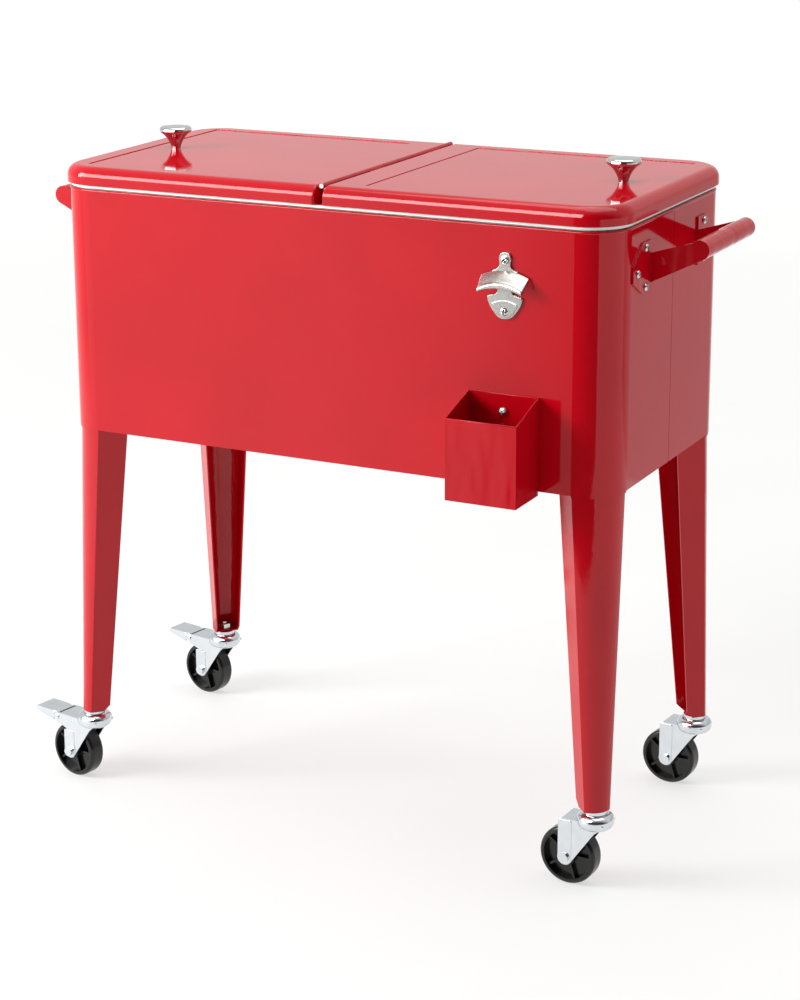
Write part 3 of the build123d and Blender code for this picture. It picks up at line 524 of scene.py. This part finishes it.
def make_screw_caps(node, name, slot):
    """Recessed heads over the plain heads of a screw node, with painted shade in the recesses; they face
    away from the middle of the cart.
    """
    axis = SCREW_AXIS[node]
    mesh = bmesh.new()
    for count, (low, high) in enumerate(islands(nodes[node].data)):
        place = (low + high) / 2
        out = Vector((0, 0, 0))
        out[axis] = 1 if place[axis] > 0 else -1
        tip = high[axis] if out[axis] > 0 else low[axis]
        place[axis] = tip + out[axis] * (CAP_COVER - CAP_HEIGHT) * MM
        radius = (high[2] - low[2]) / 2 + CAP_GROW[node] * MM
        add_cap(mesh, place, out, radius, count * CROSS_TURN)
    piece = add_piece(name, mesh, slot, "cart")
    # Second material: black plastic, painted shade in the cross recesses
    piece.data.materials.append(materials["black_plastic"])


# Pressed band on the caster cheeks, in millimetres: half its width, the gap above it, its corner radius, how
# far it stands out and sinks in, and its edge rounding
BAND_HALF = 9.4
BAND_UNDER_TOP = 1.4
BAND_CORNER = 2.0
BAND_PROUD = 1.0
BAND_SINK = 0.5
BAND_EDGE = 0.9


def fork_points(corner, axle):
    """The points of a caster fork about its axle."""
    return [vertex.co - axle for vertex in nodes[corner + "_caster_fork"].data.vertices]


def cheek_reach(corner, axle, side):
    """How far the fork's cheeks stand out from the wheel's middle plane at the axle's height."""
    return max(p.dot(side) for p in fork_points(corner, axle) if abs(p.z) < BAND_HALF * MM)


def cheek_top(corner, axle, along):
    """How high the fork reaches over the axle, within the band's width."""
    return max(p.z for p in fork_points(corner, axle) if abs(p.dot(along)) < BAND_HALF * MM)


def make_cheek_bands():
    """The pressed band down each fork cheek, with a rounded end round the axle."""
    for corner in CORNERS:
        spin = joints[corner + "_wheel_spin"]
        axle, side = Vector(spin["pos_m"]), Vector(spin["axis"]).normalized()
        along = Vector((0, 0, 1)).cross(side)
        top = cheek_top(corner, axle, along) / MM - BAND_UNDER_TOP - BAND_CORNER
        outline = arc(0, 0, BAND_HALF, 180, 360)
        outline += arc(BAND_HALF - BAND_CORNER, top, BAND_CORNER, 0, 90)
        outline += arc(BAND_CORNER - BAND_HALF, top, BAND_CORNER, 90, 180)
        flat = [axle + along * x * MM + Vector((0, 0, z * MM)) for x, z in outline]
        mesh = bmesh.new()
        for face in (side, -side):
            reach = cheek_reach(corner, axle, face)
            depths = (reach - BAND_SINK * MM, reach + BAND_PROUD * MM)
            add_prism(mesh, *([point + face * depth for point in flat] for depth in depths))
        piece = add_piece(corner + "_cheek_bands", mesh, "zinc_plate", corner + "_swivel")
        round_edges(piece, BAND_EDGE, SHARP_ANGLE)


# Rolled sheet edges, in millimetres: each bead's radius and how far its middle lies inside the faces
RIM_RADIUS = 0.9
RIM_INSET = 0.5
RIM_STEPS = 10
ROLL_RADIUS = 2.0
ROLL_INSET = 1.3
ROLL_STEPS = 20

# Height of the catcher's front wall and radius of the box's upright corners, in millimetres
CATCHER_FRONT = 103.0
BOX_CORNER = 52.0


def add_bead(name, path, radius, steps, body):
    """A round bead along a closed path, as a painted piece."""
    mesh = bmesh.new()
    rows = []
    for i, point in enumerate(path):
        before = (point - path[i - 1]).normalized()
        after = (path[(i + 1) % len(path)] - point).normalized()
        cut = (before + after).normalized()
        side = (before - after).normalized()
        up = cut.cross(side)
        stretch = 1 / cut.dot(after)
        ring = []
        for step in range(steps):
            angle = 2 * pi * step / steps
            reach = (side * cos(angle) * stretch + up * sin(angle)) * radius * MM
            ring.append(mesh.verts.new(point + reach))
        rows.append(ring)
    for i, ring in enumerate(rows):
        for step in range(steps):
            face = mesh.faces.new((rows[i - 1][step - 1], rows[i - 1][step], ring[step], ring[step - 1]))
            face.smooth = True
    add_piece(name, mesh, "red_paint", body)


def make_catcher_rim():
    """The rolled top edge of the cap catcher."""
    low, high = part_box("cap_catcher")
    inset = RIM_INSET * MM
    left, right = low[0] + inset, high[0] - inset
    back, front = high[1] - inset, low[1] + inset
    front_top = low[2] + CATCHER_FRONT * MM - inset
    back_top = high[2] - inset
    path = [Vector(p) for p in ((left, back, back_top), (right, back, back_top),
                                (right, front, front_top), (left, front, front_top))]
    add_bead("catcher_rim", path, RIM_RADIUS, RIM_STEPS, "catcher")


def make_shell_roll():
    """The rounded fold along the top of the box, under the white edging."""
    front_low, front_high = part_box("front_shell")
    rear_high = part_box("rear_shell")[1]
    radius = BOX_CORNER - ROLL_INSET
    left, right = front_low[0] / MM + BOX_CORNER, front_high[0] / MM - BOX_CORNER
    front, back = front_low[1] / MM + BOX_CORNER, rear_high[1] / MM - BOX_CORNER
    plan = arc(right, front, radius, -90, 0) + arc(right, back, radius, 0, 90)
    plan += arc(left, back, radius, 90, 180) + arc(left, front, radius, 180, 270)
    height = front_high[2] - ROLL_INSET * MM
    path = [Vector((x * MM, y * MM, height)) for x, y in plan]
    add_bead("shell_roll", path, ROLL_RADIUS, ROLL_STEPS, "cart")


def add_stage_sheet(name, corners, material):
    """A flat four-cornered sheet of the studio."""
    mesh = bpy.data.meshes.new(name)
    mesh.from_pydata(corners, [], [(0, 1, 2, 3)])
    mesh.materials.append(material)
    sheet = bpy.data.objects.new(name, mesh)
    bpy.context.scene.collection.objects.link(sheet)
    return sheet


# The floor, in metres; its glow grows from the third value at the first distance to the fourth at the second
FLOOR_REACH = 60
FLOOR_DARK = (0.315, 0.325, 0.32)
FLOOR_LIGHT = (0.34, 0.35, 0.345)
FLOOR_GLOW_COLOUR = (1, 0.995, 0.985, 1)
FLOOR_GLOW = (1.0, 6.0, 0.60, 0.82)


def make_floor():
    """A plain pale floor that fades to white."""
    s = Shader("floor", Specular_IOR_Level=0.1, Emission_Color=FLOOR_GLOW_COLOUR)
    s.colour(s.noise(scale=2, detail=4), FLOOR_DARK, FLOOR_LIGHT)
    s.roughness(s.noise(scale=8, detail=4), low=0.55, high=0.65)
    away = s.add("ShaderNodeVectorMath", operation="LENGTH")
    s.link(s.place, away.inputs[0])
    glow = s.add("ShaderNodeMapRange")
    for socket, value in zip(("From Min", "From Max", "To Min", "To Max"), FLOOR_GLOW):
        glow.inputs[socket].default_value = value
    s.link(away.outputs["Value"], glow.inputs["Value"])
    s.link(glow.outputs["Result"], s.surface.inputs["Emission Strength"])
    corners = [(x * FLOOR_REACH, y * FLOOR_REACH, 0) for x, y in ((-1, -1), (1, -1), (1, 1), (-1, 1))]
    add_stage_sheet("floor", corners, s.material)


# The studio round the object: the direction of its dim side, then where its light part ends and its dim part
# begins along that direction, each with its brightness
DIM_SIDE = (0.45, -0.85, -0.25)
STUDIO_STOPS = [(0.05, 0.75), (0.60, 0.04)]


def make_world():
    """A white studio behind and above the object, dim on the camera's side."""
    world = bpy.data.worlds.new("studio")
    bpy.context.scene.world = world
    world.use_nodes = True
    tree = world.node_tree
    background = tree.nodes["Background"]
    place = tree.nodes.new("ShaderNodeTexCoord")
    dim_side = tree.nodes.new("ShaderNodeVectorMath")
    dim_side.operation = "DOT_PRODUCT"
    dim_side.inputs[1].default_value = DIM_SIDE
    ramp = tree.nodes.new("ShaderNodeValToRGB")
    for element, (position, grey) in zip(ramp.color_ramp.elements, STUDIO_STOPS):
        element.position = position
        element.color = (grey, grey, grey, 1.0)
    tree.links.new(place.outputs["Generated"], dim_side.inputs[0])
    tree.links.new(dim_side.outputs["Value"], ramp.inputs["Fac"])
    tree.links.new(ramp.outputs["Color"], background.inputs["Color"])


# Cards that show in reflections only: feet and height in metres, and brightness along the width
CARDS = {
    "front_card": dict(left=(-2.4, -1.6, 0), right=(1.7, -1.6, 0), height=1.5, glow=[
        (0.0, 1.45), (0.40, 1.35), (0.475, 1.05), (0.525, 0.60), (0.55, 0.05), (1.0, 0.03)]),
    "key_card": dict(left=(-1.9, -1.5, 1.15), right=(0.3, -1.5, 1.15), height=0.9,
                     glow=[(0.0, 13.0), (1.0, 12.0)]),
    "back_card": dict(left=(0.55, 1.6, 0), right=(2.6, 1.2, 0), height=1.1, glow=[(0.0, 0.62), (1.0, 0.52)]),
}


def make_card(name, left, right, height, glow):
    """A standing card that the camera doesn't see and that lights nothing but reflections."""
    s = Shader(name, Roughness=1.0, Specular_IOR_Level=0.0, Base_Color=(0, 0, 0, 1), Emission_Strength=1.0)
    along = s.add("ShaderNodeSeparateXYZ")
    s.link(s.add("ShaderNodeTexCoord").outputs["Generated"], along.inputs["Vector"])
    s.link(s.ramp(along.outputs["X"], glow), s.surface.inputs["Emission Color"])
    left, right, rise = Vector(left), Vector(right), Vector((0, 0, height))
    card = add_stage_sheet(name, [left, right, right + rise, left + rise], s.material)
    card.visible_camera = card.visible_diffuse = card.visible_shadow = False


# Lights: place, target and size in metres, power in watts
LIGHTS = {
    "key": dict(place=(-1.9, -1.6, 1.6), target=(-0.1, 0, 0.6), size=(1.2, 1.2), power=78),
    "top": dict(place=(0.2, 0.4, 3.2), target=(0, 0, 0.8), size=(2.6, 2.0), power=35),
}


def make_light(name, place, target, size, power):
    """A white area light that faces a target."""
    data = bpy.data.lights.new(name, "AREA")
    data.shape = "RECTANGLE"
    data.size, data.size_y = size
    data.energy = power
    light = bpy.data.objects.new(name, data)
    light.location = place
    light.rotation_euler = (Vector(target) - Vector(place)).to_track_quat("-Z", "Y").to_euler()
    bpy.context.scene.collection.objects.link(light)


make_camera()
dress_cad_nodes()
soften_edges()
make_opener()
make_screw_caps("front_screws", "front_screw_caps", "screw_steel")
make_screw_caps("handle_screws", "handle_screw_caps", "screw_steel")
make_cheek_bands()
make_catcher_rim()
make_shell_roll()
make_floor()
make_world()
for card_name, card_values in CARDS.items():
    make_card(card_name, **card_values)
for light_name, light_values in LIGHTS.items():
    make_light(light_name, **light_values)
bpy.context.scene.view_settings.view_transform = "Standard"
